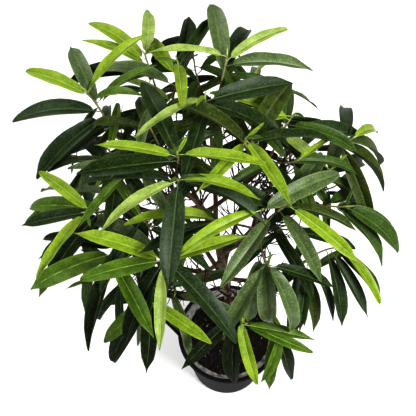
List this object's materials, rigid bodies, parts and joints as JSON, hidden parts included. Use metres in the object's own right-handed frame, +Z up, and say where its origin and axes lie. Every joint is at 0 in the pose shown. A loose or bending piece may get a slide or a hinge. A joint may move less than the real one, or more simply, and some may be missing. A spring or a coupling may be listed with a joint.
{
  "type": "potted alii ficus",
  "caption": "Alii ficus houseplant: a round open crown of long narrow drooping leaves on a slender trunk, in a black plastic nursery pot filled with soil.",
  "frame": {"origin": "middle of the pot's flat underside", "axes": "+Z up along the plant, -Y towards the side that the picture shows, +X to its right"},
  "size_m": [0.6635, 0.6387, 1.0809],
  "materials": {
    "pot": "black moulded plastic, dusty",
    "soil": "dark crumbly potting mix",
    "bark": "grey-brown bark",
    "leaf": "dark green leaves, young ones lime"
  },
  "bodies": {
    "root": {"pot": "pot", "soil": "soil", "trunk": "bark", "bough_top_left": "bark", "bough_back_left": "bark", "bough_back": "bark", "bough_left_back": "bark", "bough_right_front": "bark", "bough_right": "bark", "bough_right_low": "bark", "bough_front_low": "bark", "bough_left_low": "bark", "bough_back_low_left": "bark", "bough_back_low_right": "bark", "bough_left_front_low": "bark", "bough_upper_right": "bark", "bough_left": "bark", "bough_front_left": "bark", "bough_right_back": "bark", "foliage_top_left": "leaf", "foliage_back_left": "leaf", "foliage_back": "leaf", "foliage_left_back": "leaf", "foliage_right_front": "leaf", "foliage_right": "leaf", "foliage_right_low": "leaf", "foliage_front_low": "leaf", "foliage_left_low": "leaf", "foliage_back_low_left": "leaf", "foliage_back_low_right": "leaf", "foliage_left_front_low": "leaf", "foliage_upper_right": "leaf", "foliage_left": "leaf", "foliage_front_left": "leaf", "foliage_right_back": "leaf"}
  },
  "joints": []
}
